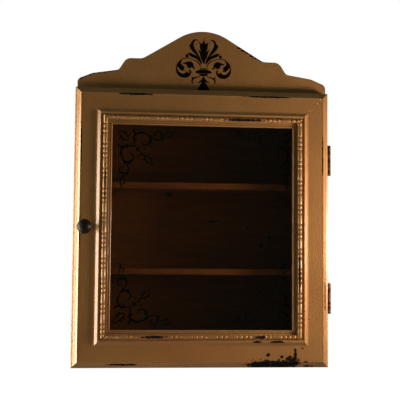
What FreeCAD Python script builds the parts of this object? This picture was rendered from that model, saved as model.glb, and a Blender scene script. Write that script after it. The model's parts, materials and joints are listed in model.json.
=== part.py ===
import FreeCAD, Part
import math
import os

# Wall display cabinet: a painted pine case with a crest, two shelves and a glazed door on butt hinges.
# Millimetres. +X is the viewer's right, +Y goes into the wall and +Z is up. The wall is the plane Y = 0.
# The origin lies on the wall, midway between the entry holes of the two keyhole plates.
V = FreeCAD.Vector

# Points nearer than this are one point
SAME_POINT = 1e-6

# Door frame: four mitred members, whose outer edge climbs to a rim by two gentle and two steep slopes
DOOR_WIDTH = 420.0
DOOR_HEIGHT = 455.0
DOOR_THICKNESS = 20.0
DOOR_GAP = 1.5
FRAME_WIDTH = 52.0
LOWER_SLOPE_WIDTH = 3.2
LOWER_SLOPE_RISE = 1.8
LOWER_STEP_WIDTH = 2.0
LOWER_STEP_RISE = 3.2
UPPER_SLOPE_WIDTH = 1.8
UPPER_SLOPE_RISE = 1.0
UPPER_STEP_WIDTH = 2.7
UPPER_STEP_RISE = 3.8
RIM_RISE = 1.2
RIM_FALL_WIDTH = 2.3
SPLINE_THICKNESS = 3.0
SPLINE_REACH = 28.0
SPLINE_DEPTH = 12.0

# Sight moulding, which laps over the frame's inner edge and holds the glass
MOULDING_LAP = 9.0
MOULDING_RISE = 6.4
MOULDING_FOOT = 1.6
BEVEL_WIDTH = 7.1
ARRIS_WIDTH = 0.6
QUIRK_WIDTH = 3.6
SEAT_CLEARANCE = 0.3
SEAT_RISE = 2.6
RIDGE_WIDTH = 0.5
COVE_RADIUS = 2.2
COVE_FLOOR = 0.9
COVE_RISE = 0.8
LIP_WIDTH = 2.2
LIP_RISE = 1.6
LIP_ROUND = 1.2

# Bead and reel string, turned and split, on the moulding's seat
BEAD_RADIUS = 4.4
BEAD_PITCH = 7.6
REEL_LENGTH = 17.4
NOTCH_DEPTH = 1.8
NOTCH_SLOPE = 1.9
STRING_FLAT_COUNT = 4
STRING_ORDER = ("reel", "bead", "bead", "reel", "bead", "bead", "bead")
STRING_START = {"top": 0.0, "left": 2.5, "bottom": 46.0, "right": 20.0}

# Glass and the strips that hold it from behind
GLASS_DEPTH = 4.0
GLASS_THICKNESS = 3.0
GLASS_CLEARANCE = 0.8
STRIP_SIZE = 8.0
STRIP_BEVEL = 3.0
PIN_SIZE = 1.2
PIN_LENGTH = 18.0
PIN_SPACING = 110.0

# Case: sides, top, bottom, back and shelves
CASE_DEPTH = 115.0
SIDE_THICKNESS = 16.0
BOARD_THICKNESS = 16.0
HOUSING_DEPTH = 5.0
BACK_THICKNESS = 6.0
BACK_INSET = 10.0
BACK_CLEARANCE = 0.1
SHELF_THICKNESS = 10.0
SHELF_SETBACK = 12.0
SHELF_CLEARANCE = 0.1
LOWER_BAY = 134.0
MIDDLE_BAY = 133.0
NAIL_SIZE = 2.0
NAIL_LENGTH = 40.0
NAIL_SPACING = 34.0

# Crest board: a bell between two shoulders, which are measured outwards from the bell's foot, and two wings
CREST_THICKNESS = 15.0
CREST_INSET = 1.2
CREST_OFFSET = 0.9
CREST_HEIGHT = 102.5
PEAK_RADIUS = 77.0
BELL_HALF = 101.6
BELL_FOOT_RADIUS = 19.5
SHOULDER_HEIGHT = 53.8
SHOULDER_FROM_BELL = 26.8
SHOULDER_RADIUS = 14.5
WING_FROM_BELL = 39.5
WING_HEIGHT = 33.6
WING_ROOT_RADIUS = 5.0
TIP_FROM_END = 24.8
TIP_HEIGHT = 26.8
TIP_RADIUS = 23.5
END_HEIGHT = 16.4
END_RADIUS = 9.3
CREST_SCREW_SPACING = 120.0
CREST_SCREW_LENGTH = 45.0

# Butt hinges
HINGE_HEIGHT = 50.0
HINGE_FROM_END = 112.0
HINGE_STANDOFF = 2.2
BARREL_RADIUS = 3.0
HINGE_PIN_RADIUS = 1.5
PIN_HEAD_RADIUS = 2.4
PIN_HEAD_HEIGHT = 1.0
PIN_CLEARANCE = 0.05
KNUCKLE_CLEARANCE = 0.3
LEAF_THICKNESS = 1.5
LEAF_MARGIN = 3.0
HINGE_SCREW_SPACING = 30.0
HINGE_SCREW_LENGTH = 11.0

# Countersunk screws, all of one gauge
SCREW_FLAT_COUNT = 8
SCREW_RADIUS = 1.4
HEAD_RADIUS = 2.6
SCREW_CLEARANCE = 0.05
NAIL_CLEARANCE = 0.05

# Room round metal plates that are let into the wood
BED_CLEARANCE = 0.1

# Keyhole plates let into the back edges of the sides
KEYHOLE_BELOW_TOP = 60.0
PLATE_THICKNESS = 1.5
PLATE_WEB = 1.5
PLATE_END = 5.0
ENTRY_RADIUS = 4.5
SLOT_RADIUS = 2.25
SLOT_RISE = 10.0
POCKET_DEPTH = 7.0
POCKET_ROOM = 1.0
PLATE_SCREW_GAP = 5.0
PLATE_SCREW_LENGTH = 14.0

# Magnetic catch under the top board, and its strike on the door
CATCH_FROM_SIDE = 29.0
CATCH_WIDTH = 46.0
CATCH_DEPTH = 15.0
CATCH_FRONT_INSET = 0.5
CATCH_AIR = 0.3
CATCH_WALL = 2.2
CATCH_CLEARANCE = 0.1
MAGNET_WIDTH = 24.0
MAGNET_DEPTH = 9.0
MAGNET_HEIGHT = 5.0
POLE_THICKNESS = 1.2
POLE_DEPTH = 11.0
CATCH_SCREW_SPACING = 36.0
CATCH_SCREW_LENGTH = 20.0
STRIKE_THICKNESS = 1.2
STRIKE_WIDTH = 30.0
STRIKE_HEIGHT = 11.0
STRIKE_SCREW_LENGTH = 11.0

# Turned knob, held by a screw through the left stile
KNOB_FROM_EDGE = 18.5
KNOB_DROP = 1.5
KNOB_RADIUS = 12.0
KNOB_HEIGHT = 25.0
KNOB_FOOT_RADIUS = 6.6
KNOB_FOOT_HEIGHT = 1.8
KNOB_NECK_RADIUS = 4.6
KNOB_NECK_HEIGHT = 4.0
KNOB_FLAT_COUNT = 32
KNOB_RING_COUNT = 8
KNOB_FLAT_RADIUS = 2.3
KNOB_SCREW_BITE = 12.0

# Planes and places that follow from the sizes above
CASE_TOP = KEYHOLE_BELOW_TOP
CASE_BOTTOM = CASE_TOP - DOOR_HEIGHT
CASE_FRONT = -CASE_DEPTH
CASE_HALF = DOOR_WIDTH / 2
INNER_HALF = CASE_HALF - SIDE_THICKNESS
BOARD_HALF = INNER_HALF + HOUSING_DEPTH
INNER_TOP = CASE_TOP - BOARD_THICKNESS
INNER_BOTTOM = CASE_BOTTOM + BOARD_THICKNESS
GROOVE_BACK = -BACK_INSET
GROOVE_FRONT = GROOVE_BACK - BACK_THICKNESS - 2 * BACK_CLEARANCE
LOWER_SHELF_Z = INNER_BOTTOM + LOWER_BAY
UPPER_SHELF_Z = LOWER_SHELF_Z + SHELF_THICKNESS + MIDDLE_BAY
SHELF_FRONT = CASE_FRONT + SHELF_SETBACK
DOOR_BACK = CASE_FRONT - DOOR_GAP
DOOR_FRONT = DOOR_BACK - DOOR_THICKNESS
DOOR_MIDDLE = (CASE_TOP + CASE_BOTTOM) / 2
SEAT_WIDTH = 2 * (BEAD_RADIUS + SEAT_CLEARANCE)
MOULDING_OUTER = BEVEL_WIDTH + ARRIS_WIDTH + QUIRK_WIDTH
MOULDING_INNER = RIDGE_WIDTH + COVE_RADIUS + COVE_FLOOR + LIP_WIDTH
MOULDING_WIDTH = MOULDING_OUTER + SEAT_WIDTH + MOULDING_INNER
MOULDING_START = FRAME_WIDTH + MOULDING_LAP - MOULDING_WIDTH
SEAT_START = MOULDING_START + MOULDING_OUTER
STRING_LINE = SEAT_START + SEAT_WIDTH / 2
GLASS_BACK = GLASS_DEPTH + GLASS_THICKNESS
HINGE_X = CASE_HALF + HINGE_STANDOFF + BARREL_RADIUS
HINGE_Y = CASE_FRONT - DOOR_GAP / 2
HINGE_CENTRES = {"upper": CASE_TOP - HINGE_FROM_END, "lower": CASE_BOTTOM + HINGE_FROM_END}
LEAF_INNER = INNER_HALF + LEAF_MARGIN
LEAF_MIDDLE = (LEAF_INNER + CASE_HALF) / 2
SIDE_MIDDLE = CASE_HALF - SIDE_THICKNESS / 2
CATCH_X = CATCH_FROM_SIDE - INNER_HALF
CATCH_FRONT = DOOR_BACK + STRIKE_THICKNESS + CATCH_AIR
CATCH_CORE = MAGNET_HEIGHT + 2 * POLE_THICKNESS
CATCH_HEIGHT = CATCH_CORE + 2 * CATCH_CLEARANCE + 2 * CATCH_WALL
CATCH_Z = INNER_TOP - CATCH_HEIGHT / 2
HEAD_DEPTH = HEAD_RADIUS - SCREW_RADIUS

# Each side of the door: its angle about the door's axis, its length, its height and the string's run
SIDES = {
    "bottom": (0, DOOR_WIDTH, DOOR_HEIGHT, 1),
    "left": (90, DOOR_HEIGHT, DOOR_WIDTH, 1),
    "top": (180, DOOR_WIDTH, DOOR_HEIGHT, -1),
    "right": (270, DOOR_HEIGHT, DOOR_WIDTH, -1),
}


def box(x0, x1, y0, y1, z0, z1):
    return Part.makeBox(x1 - x0, y1 - y0, z1 - z0, V(x0, y0, z0))


def cut_all(shape, tools):
    for tool in tools:
        shape = shape.cut(tool)
    return shape


def radius_of(corner):
    return corner[2] if len(corner) == 3 else 0.0


def rounded_wire(corners, place):
    # Closed outline through (a, b) or (a, b, radius) corners; a radius is limited by the edges beside it
    points = [V(corner[0], corner[1], 0) for corner in corners]
    spans = []
    for i, here in enumerate(points):
        ahead = (i + 1) % len(points)
        back = points[i - 1] - here
        onward = points[ahead] - here
        half = back.getAngle(onward) / 2
        room_back = back.Length * (0.5 if radius_of(corners[i - 1]) else 1.0)
        room_ahead = onward.Length * (0.5 if radius_of(corners[ahead]) else 1.0)
        setback = min(radius_of(corners[i]) / math.tan(half), room_back, room_ahead)
        back.normalize()
        onward.normalize()
        radius = setback * math.tan(half)
        middle = here
        if radius:
            middle = here + (back + onward).normalize() * (radius / math.sin(half) - radius)
        spans.append([place(p.x, p.y) for p in (here + back * setback, middle, here + onward * setback)])
    edges = []
    for i, (start, middle, end) in enumerate(spans):
        if start.distanceToPoint(end) > SAME_POINT:
            edges.append(Part.Arc(start, middle, end).toShape())
        following = spans[(i + 1) % len(spans)][0]
        if end.distanceToPoint(following) > SAME_POINT:
            edges.append(Part.LineSegment(end, following).toShape())
    return Part.Wire(edges)


def turned(corners, foot, along):
    # Solid of revolution from (radius, height) corners, standing on foot
    face = Part.Face(rounded_wire(corners, lambda r, h: V(r, 0, h)))
    solid = face.revolve(V(0, 0, 0), V(0, 0, 1), 360)
    solid.Placement = FreeCAD.Placement(foot, FreeCAD.Rotation(V(0, 0, 1), along))
    return solid


def arc_points(flats, turn, radius, place):
    # Points round a circle, or part of one
    angles = [i * turn / flats for i in range(flats + (turn < 2 * math.pi))]
    return [place(radius * math.cos(a), radius * math.sin(a)) for a in angles]


def faceted(rings):
    # Solid with flat faces between rings of equally many points
    faces = [Part.Face(Part.makePolygon(ring + ring[:1])) for ring in (rings[0], rings[-1])]
    for near, far in zip(rings, rings[1:]):
        for i in range(len(near)):
            quad = [near[i - 1], near[i], far[i], far[i - 1], near[i - 1]]
            faces.append(Part.Face(Part.makePolygon(quad)))
    solid = Part.Solid(Part.Shell(faces))
    if solid.Volume < 0:
        solid.reverse()
    return solid


def screw(head, along, length, grow=0.0):
    # Countersunk screw, drawn with a few flats, whose head lies at head; grow gives the hole that takes it
    shank = SCREW_RADIUS + grow
    stages = ((0.0, HEAD_RADIUS + grow), (HEAD_DEPTH, shank), (length + grow, shank))
    rings = []
    for height, radius in stages:
        rings.append(arc_points(SCREW_FLAT_COUNT, 2 * math.pi, radius, lambda a, b: V(a, b, height)))
    solid = faceted(rings)
    solid.Placement = FreeCAD.Placement(head, FreeCAD.Rotation(V(0, 0, 1), along))
    return solid


def screw_set(places, along, length):
    screws = [screw(place, along, length) for place in places]
    holes = [screw(place, along, length, SCREW_CLEARANCE) for place in places]
    return screws, holes


def brad(centre, size, length, along, grow=0.0):
    # Square brad with its middle at centre, lying along X, Y or Z
    half = V(size / 2 + grow, size / 2 + grow, size / 2 + grow) + along * ((length - size) / 2)
    low = centre - half
    high = centre + half
    return box(low.x, high.x, low.y, high.y, low.z, high.z)


def brad_set(centres, size, length, along):
    brads = [brad(centre, size, length, along) for centre in centres]
    holes = [brad(centre, size, length, along, NAIL_CLEARANCE) for centre in centres]
    return brads, holes


def save(node, shapes):
    solids = shapes if isinstance(shapes, list) else [shapes]
    whole = solids[0] if len(solids) == 1 else Part.makeCompound(solids)
    whole.exportStep("parts/%s.step" % node)


def on_door(shape, angle=0):
    # From the door's own axes, centred on its face, to its place on the case
    turned_shape = shape.copy()
    turned_shape.rotate(V(0, 0, 0), V(0, 1, 0), angle)
    turned_shape.translate(V(0, DOOR_FRONT, DOOR_MIDDLE))
    return turned_shape


def mitre_prism(length, height):
    # All that belongs to the bottom side of the door, up to the two mitres
    reach = FRAME_WIDTH + MOULDING_LAP + STRIP_SIZE
    depth = 2 * DOOR_THICKNESS
    outline = [(-length / 2, 0), (length / 2, 0), (length / 2 - reach, reach), (reach - length / 2, reach)]
    wire = rounded_wire(outline, lambda t, u: V(t, -depth, u - height / 2))
    return Part.Face(wire).extrude(V(0, 2 * depth, 0))


def mitred_stick(section, side):
    # Stick along one side of the door; its section is drawn as (distance from the edge, depth)
    angle, length, height, run = SIDES[side]
    wire = rounded_wire(section, lambda u, v: V(-length / 2, v, u - height / 2))
    bar = Part.Face(wire).extrude(V(length, 0, 0))
    return on_door(bar.common(mitre_prism(length, height)), angle)


def frame_section():
    slopes = [
        (LOWER_SLOPE_WIDTH, LOWER_SLOPE_RISE),
        (LOWER_STEP_WIDTH, LOWER_STEP_RISE),
        (UPPER_SLOPE_WIDTH, UPPER_SLOPE_RISE),
        (UPPER_STEP_WIDTH, UPPER_STEP_RISE),
    ]
    across = 0
    depth = sum(rise for width, rise in slopes) - RIM_RISE
    section = [(across, DOOR_THICKNESS), (across, depth)]
    for width, rise in slopes:
        across += width
        depth -= rise
        section.append((across, depth))
    return section + [(across + RIM_FALL_WIDTH, 0), (FRAME_WIDTH, 0), (FRAME_WIDTH, DOOR_THICKNESS)]


def moulding_section():
    # From the outer edge: a bevel up to an arris, the string's seat, a cove and the lip round the glass
    arris = MOULDING_START + BEVEL_WIDTH
    ridge = SEAT_START + SEAT_WIDTH
    sight = FRAME_WIDTH + MOULDING_LAP
    return [
        (MOULDING_START, 0),
        (MOULDING_START, -MOULDING_FOOT),
        (arris, -MOULDING_RISE),
        (arris + ARRIS_WIDTH, -MOULDING_RISE),
        (SEAT_START, -SEAT_RISE),
        (ridge, -SEAT_RISE),
        (ridge, -COVE_RADIUS - COVE_RISE),
        (ridge + RIDGE_WIDTH, -COVE_RADIUS - COVE_RISE),
        (ridge + RIDGE_WIDTH, -COVE_RISE, COVE_RADIUS),
        (sight - LIP_WIDTH, -COVE_RISE),
        (sight - LIP_WIDTH, -LIP_RISE),
        (sight, -LIP_RISE, LIP_ROUND),
        (sight, GLASS_DEPTH),
        (FRAME_WIDTH, GLASS_DEPTH),
        (FRAME_WIDTH, 0),
    ]


def strip_section():
    inner = FRAME_WIDTH + STRIP_SIZE
    outer_depth = GLASS_BACK + STRIP_SIZE
    return [
        (FRAME_WIDTH, GLASS_BACK),
        (inner, GLASS_BACK),
        (inner, outer_depth - STRIP_BEVEL),
        (inner - STRIP_BEVEL, outer_depth),
        (FRAME_WIDTH, outer_depth),
    ]


def string_stages(start, end, first):
    # Places along the string and its radius there, beginning at first millimetres into the repeat
    low = BEAD_RADIUS - NOTCH_DEPTH
    at = start - first
    stages = [(at, low)]
    count = 0
    while at < end:
        kind = STRING_ORDER[count % len(STRING_ORDER)]
        length = REEL_LENGTH if kind == "reel" else BEAD_PITCH
        stages.append((at + NOTCH_SLOPE, BEAD_RADIUS))
        stages.append((at + length - NOTCH_SLOPE, BEAD_RADIUS))
        stages.append((at + length, low))
        at += length
        count += 1
    return stages


def bead_string(side):
    # Half-round string of beads and reels, built from notch to notch and cut to the mitres
    angle, length, height, run = SIDES[side]
    half = length / 2 - STRING_LINE + BEAD_RADIUS
    line = STRING_LINE - height / 2
    rings = []
    for at, radius in string_stages(-half, half, STRING_START[side]):
        x = run * at
        ring = arc_points(STRING_FLAT_COUNT, math.pi, radius, lambda a, b: V(x, -SEAT_RISE - b, line + a))
        rings.append(ring)
    return on_door(faceted(rings).common(mitre_prism(length, height)), angle)


def corner_splines():
    splines = []
    for sx in (-1, 1):
        for sz in (-1, 1):
            x = sx * DOOR_WIDTH / 2
            z = sz * DOOR_HEIGHT / 2
            outline = [(x, z), (x - sx * SPLINE_REACH, z), (x, z - sz * SPLINE_REACH)]
            wire = rounded_wire(outline, lambda a, b: V(a, SPLINE_DEPTH, b))
            splines.append(on_door(Part.Face(wire).extrude(V(0, SPLINE_THICKNESS, 0))))
    return splines


def pin_centres(side):
    # Middles of the glazing pins along one side, and the direction they are driven in
    angle, length, height, run = SIDES[side]
    across = FRAME_WIDTH + STRIP_SIZE - PIN_LENGTH / 2 - height / 2
    middle = GLASS_BACK + STRIP_SIZE / 2
    spot = Part.makeCompound([Part.Vertex(V(i * PIN_SPACING, middle, across)) for i in (-1, 0, 1)])
    along = V(0, 0, 1) if side in ("bottom", "top") else V(1, 0, 0)
    return [vertex.Point for vertex in on_door(spot, angle).Vertexes], along


def crest_outline():
    half = CASE_HALF - CREST_INSET
    centre = CREST_HEIGHT - PEAK_RADIUS
    rise = SHOULDER_HEIGHT - centre
    # The bell's straight flanks run from its foot to touch the peak's circle
    touch = math.atan2(rise, BELL_HALF) + math.acos(PEAK_RADIUS / math.hypot(BELL_HALF, rise))
    flanks_meet = centre + PEAK_RADIUS / math.sin(touch)
    right = [
        (half, 0),
        (half, END_HEIGHT, END_RADIUS),
        (half - TIP_FROM_END, TIP_HEIGHT, TIP_RADIUS),
        (BELL_HALF + WING_FROM_BELL, WING_HEIGHT, WING_ROOT_RADIUS),
        (BELL_HALF + SHOULDER_FROM_BELL, SHOULDER_HEIGHT, SHOULDER_RADIUS),
        (BELL_HALF, SHOULDER_HEIGHT, BELL_FOOT_RADIUS),
    ]
    left = [(-corner[0],) + tuple(corner[1:]) for corner in reversed(right)]
    return right + [(0, flanks_meet, PEAK_RADIUS)] + left


def crest_board():
    wire = rounded_wire(crest_outline(), lambda x, h: V(x + CREST_OFFSET, CASE_FRONT, CASE_TOP + h))
    return Part.Face(wire).extrude(V(0, CREST_THICKNESS, 0))


def knuckle(radius, z0, z1):
    return Part.makeCylinder(radius, z1 - z0, V(HINGE_X, HINGE_Y, z0))


def hinge_knuckles(centre):
    # The case leaf's two outer knuckles and the door leaf's middle one, a quarter, a half and a quarter
    low = centre - HINGE_HEIGHT / 2
    quarter = HINGE_HEIGHT / 4
    gap = KNUCKLE_CLEARANCE / 2
    outer = [(low, low + quarter - gap), (low + 3 * quarter + gap, low + HINGE_HEIGHT)]
    middle = [(low + quarter + gap, low + 3 * quarter - gap)]
    return outer, middle


def hinge_leaf(centre, plate_front, own, other, holes):
    half = HINGE_HEIGHT / 2
    leaf = box(LEAF_INNER, HINGE_X, plate_front, plate_front + LEAF_THICKNESS, centre - half, centre + half)
    for z0, z1 in other:
        reach = KNUCKLE_CLEARANCE
        leaf = leaf.cut(knuckle(BARREL_RADIUS + reach, z0 - reach, z1 + reach))
    for z0, z1 in own:
        leaf = leaf.fuse(knuckle(BARREL_RADIUS, z0, z1))
    leaf = leaf.cut(knuckle(HINGE_PIN_RADIUS + PIN_CLEARANCE, centre - half, centre + half))
    return cut_all(leaf, holes)


def hinge_pin(centre):
    half = HINGE_HEIGHT / 2
    top = HINGE_HEIGHT + PIN_HEAD_HEIGHT
    corners = [
        (0, 0),
        (HINGE_PIN_RADIUS, 0),
        (HINGE_PIN_RADIUS, HINGE_HEIGHT),
        (PIN_HEAD_RADIUS, HINGE_HEIGHT),
        (PIN_HEAD_RADIUS, top),
        (0, top),
    ]
    return turned(corners, V(HINGE_X, HINGE_Y, centre - half), V(0, 0, 1))


def leaf_mortise(plate_front):
    # Shallow beds for both hinges in the wood that faces the door gap
    half = HINGE_HEIGHT / 2 + BED_CLEARANCE
    inner = LEAF_INNER - BED_CLEARANCE
    plate_back = plate_front + LEAF_THICKNESS
    beds = []
    for centre in HINGE_CENTRES.values():
        beds.append(box(inner, CASE_HALF, plate_front, plate_back, centre - half, centre + half))
    return beds


def hinge_screw_places(face):
    places = []
    for centre in HINGE_CENTRES.values():
        for sign in (-1, 1):
            places.append(V(LEAF_MIDDLE, face, centre + sign * HINGE_SCREW_SPACING / 2))
    return places


def plate_screw_heights():
    return (SLOT_RISE + SLOT_RADIUS + PLATE_SCREW_GAP, -ENTRY_RADIUS - PLATE_SCREW_GAP)


def keyhole_plate(x, holes):
    top, bottom = plate_screw_heights()
    half = ENTRY_RADIUS + PLATE_WEB
    plate = box(x - half, x + half, -PLATE_THICKNESS, 0, bottom - PLATE_END, top + PLATE_END)
    through = 2 * PLATE_THICKNESS
    entry = Part.makeCylinder(ENTRY_RADIUS, through, V(x, -through, 0), V(0, 1, 0))
    seat = Part.makeCylinder(SLOT_RADIUS, through, V(x, -through, SLOT_RISE), V(0, 1, 0))
    slot = box(x - SLOT_RADIUS, x + SLOT_RADIUS, -through, 0, 0, SLOT_RISE)
    return cut_all(plate, [entry, seat, slot] + holes)


def keyhole_recess(x):
    # Bed for the plate, and the pocket behind it in which the wall screw's head travels
    top, bottom = plate_screw_heights()
    half = ENTRY_RADIUS + PLATE_WEB + BED_CLEARANCE
    end = PLATE_END + BED_CLEARANCE
    room = ENTRY_RADIUS + POCKET_ROOM
    bed = box(x - half, x + half, -PLATE_THICKNESS, 0, bottom - end, top + end)
    pocket = box(x - room, x + room, -PLATE_THICKNESS - POCKET_DEPTH, 0, -room, SLOT_RISE + room)
    return [bed, pocket]


def back_groove(sign):
    inner = sign * INNER_HALF
    outer = sign * BOARD_HALF
    return box(min(inner, outer), max(inner, outer), GROOVE_FRONT, GROOVE_BACK, INNER_BOTTOM, INNER_TOP)


def side_board(sign, holes):
    outer = sign * CASE_HALF
    inner = sign * INNER_HALF
    housed = sign * BOARD_HALF
    low_x = min(outer, inner)
    board = box(low_x, low_x + SIDE_THICKNESS, CASE_FRONT, 0, CASE_BOTTOM, CASE_TOP)
    x0 = min(inner, housed)
    x1 = max(inner, housed)
    housings = [
        box(x0, x1, CASE_FRONT, 0, INNER_TOP, CASE_TOP),
        box(x0, x1, CASE_FRONT, 0, CASE_BOTTOM, INNER_BOTTOM),
        back_groove(sign),
    ]
    for z in (LOWER_SHELF_Z, UPPER_SHELF_Z):
        housings.append(box(x0, x1, SHELF_FRONT, GROOVE_FRONT, z, z + SHELF_THICKNESS + SHELF_CLEARANCE))
    return cut_all(board, housings + keyhole_recess(sign * SIDE_MIDDLE) + holes)


def end_board(z0, groove_z0, holes):
    # Top or bottom board, housed in the sides, with a groove for the back panel
    board = box(-BOARD_HALF, BOARD_HALF, CASE_FRONT, 0, z0, z0 + BOARD_THICKNESS)
    groove = box(-BOARD_HALF, BOARD_HALF, GROOVE_FRONT, GROOVE_BACK, groove_z0, groove_z0 + HOUSING_DEPTH)
    return cut_all(board, [groove] + holes)


def back_panel():
    spare = BACK_CLEARANCE
    half = BOARD_HALF - spare
    return box(
        -half, half, GROOVE_FRONT + spare, GROOVE_BACK - spare,
        INNER_BOTTOM - HOUSING_DEPTH + spare, INNER_TOP + HOUSING_DEPTH - spare,
    )


def shelf(z):
    half = BOARD_HALF - SHELF_CLEARANCE
    return box(-half, half, SHELF_FRONT, GROOVE_FRONT, z, z + SHELF_THICKNESS)


def nail_centres():
    centres = []
    for sign in (-1, 1):
        for z in (CASE_TOP - BOARD_THICKNESS / 2, CASE_BOTTOM + BOARD_THICKNESS / 2):
            for step in (-1, 0, 1):
                y = CASE_FRONT / 2 + step * NAIL_SPACING
                centres.append(V(sign * (CASE_HALF - NAIL_LENGTH / 2), y, z))
    return centres


def catch_housing(holes):
    front = CATCH_FRONT + CATCH_FRONT_INSET
    body = box(
        CATCH_X - CATCH_WIDTH / 2, CATCH_X + CATCH_WIDTH / 2, front, CATCH_FRONT + CATCH_DEPTH,
        INNER_TOP - CATCH_HEIGHT, INNER_TOP,
    )
    room = CATCH_CLEARANCE
    half = MAGNET_WIDTH / 2 + room
    height = CATCH_CORE / 2 + room
    hollow = box(
        CATCH_X - half, CATCH_X + half, front, CATCH_FRONT + POLE_DEPTH + room,
        CATCH_Z - height, CATCH_Z + height,
    )
    return cut_all(body, [hollow] + holes)


def catch_magnet():
    half = MAGNET_WIDTH / 2
    back = CATCH_FRONT + POLE_DEPTH
    z = CATCH_Z - MAGNET_HEIGHT / 2
    return box(CATCH_X - half, CATCH_X + half, back - MAGNET_DEPTH, back, z, z + MAGNET_HEIGHT)


def catch_pole_plates():
    half = MAGNET_WIDTH / 2
    plates = []
    for z in (CATCH_Z - CATCH_CORE / 2, CATCH_Z + MAGNET_HEIGHT / 2):
        plates.append(
            box(CATCH_X - half, CATCH_X + half, CATCH_FRONT, CATCH_FRONT + POLE_DEPTH, z, z + POLE_THICKNESS)
        )
    return plates


def strike_plate(holes):
    half = STRIKE_WIDTH / 2
    z = CATCH_Z - STRIKE_HEIGHT / 2
    back = DOOR_BACK + STRIKE_THICKNESS
    plate = box(CATCH_X - half, CATCH_X + half, DOOR_BACK, back, z, z + STRIKE_HEIGHT)
    return cut_all(plate, holes)


def knob_stages():
    # Heights above the door's face and radii there: foot, neck, then a slightly flattened ball
    half = (KNOB_HEIGHT - KNOB_NECK_HEIGHT) / 2
    centre = KNOB_NECK_HEIGHT + half
    first = math.asin(KNOB_NECK_RADIUS / KNOB_RADIUS)
    last = math.pi - math.asin(KNOB_FLAT_RADIUS / KNOB_RADIUS)
    stages = [
        (0, KNOB_FOOT_RADIUS),
        (KNOB_FOOT_HEIGHT, KNOB_FOOT_RADIUS),
        (KNOB_FOOT_HEIGHT, KNOB_NECK_RADIUS),
    ]
    for i in range(KNOB_RING_COUNT + 1):
        angle = first + (last - first) * i / KNOB_RING_COUNT
        stages.append((centre - half * math.cos(angle), KNOB_RADIUS * math.sin(angle)))
    return stages


def knob(holes):
    x = KNOB_FROM_EDGE - CASE_HALF
    z = DOOR_MIDDLE - KNOB_DROP
    rings = []
    for height, radius in knob_stages():
        y = DOOR_FRONT - height
        ring = arc_points(KNOB_FLAT_COUNT, 2 * math.pi, radius, lambda a, b: V(x + a, y, z + b))
        rings.append(ring)
    return cut_all(faceted(rings), holes)


def glass_pane():
    margin = FRAME_WIDTH + GLASS_CLEARANCE
    half_x = DOOR_WIDTH / 2 - margin
    half_z = DOOR_HEIGHT / 2 - margin
    return on_door(box(-half_x, half_x, GLASS_DEPTH, GLASS_BACK, -half_z, half_z))


def build_case():
    nails, nail_holes = brad_set(nail_centres(), NAIL_SIZE, NAIL_LENGTH, V(1, 0, 0))
    leaf_screws, leaf_holes = screw_set(hinge_screw_places(CASE_FRONT), V(0, 1, 0), HINGE_SCREW_LENGTH)
    crest_y = CASE_FRONT + CREST_THICKNESS / 2
    crest_spots = [V(i * CREST_SCREW_SPACING, crest_y, INNER_TOP) for i in (-1, 0, 1)]
    crest_screws, crest_holes = screw_set(crest_spots, V(0, 0, 1), CREST_SCREW_LENGTH)
    plate_spots = [V(s * SIDE_MIDDLE, 0, z) for s in (-1, 1) for z in plate_screw_heights()]
    plate_screws, plate_holes = screw_set(plate_spots, V(0, -1, 0), PLATE_SCREW_LENGTH)
    catch_y = CATCH_FRONT + CATCH_DEPTH / 2
    catch_z = INNER_TOP - CATCH_HEIGHT
    catch_spots = [V(CATCH_X + s * CATCH_SCREW_SPACING / 2, catch_y, catch_z) for s in (-1, 1)]
    catch_screws, catch_holes = screw_set(catch_spots, V(0, 0, 1), CATCH_SCREW_LENGTH)

    save("left_side", side_board(-1, nail_holes + plate_holes))
    save("right_side", side_board(1, nail_holes + plate_holes + leaf_mortise(CASE_FRONT) + leaf_holes))
    save("top_board", end_board(INNER_TOP, INNER_TOP, nail_holes + crest_holes + catch_holes))
    save("bottom_board", end_board(CASE_BOTTOM, INNER_BOTTOM - HOUSING_DEPTH, nail_holes))
    save("back_panel", back_panel())
    save("upper_shelf", shelf(UPPER_SHELF_Z))
    save("lower_shelf", shelf(LOWER_SHELF_Z))
    save("case_nails", nails)
    save("crest_board", cut_all(crest_board(), crest_holes))
    save("crest_screws", crest_screws)
    for name, centre in HINGE_CENTRES.items():
        outer, middle = hinge_knuckles(centre)
        save(name + "_hinge_case_leaf", hinge_leaf(centre, CASE_FRONT, outer, middle, leaf_holes))
        save(name + "_hinge_pin", hinge_pin(centre))
    save("hinge_case_screws", leaf_screws)
    save("left_keyhole_plate", keyhole_plate(-SIDE_MIDDLE, plate_holes))
    save("right_keyhole_plate", keyhole_plate(SIDE_MIDDLE, plate_holes))
    save("keyhole_plate_screws", plate_screws)
    save("catch_housing", catch_housing(catch_holes))
    save("catch_magnet", catch_magnet())
    save("catch_pole_plates", catch_pole_plates())
    save("catch_screws", catch_screws)


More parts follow.
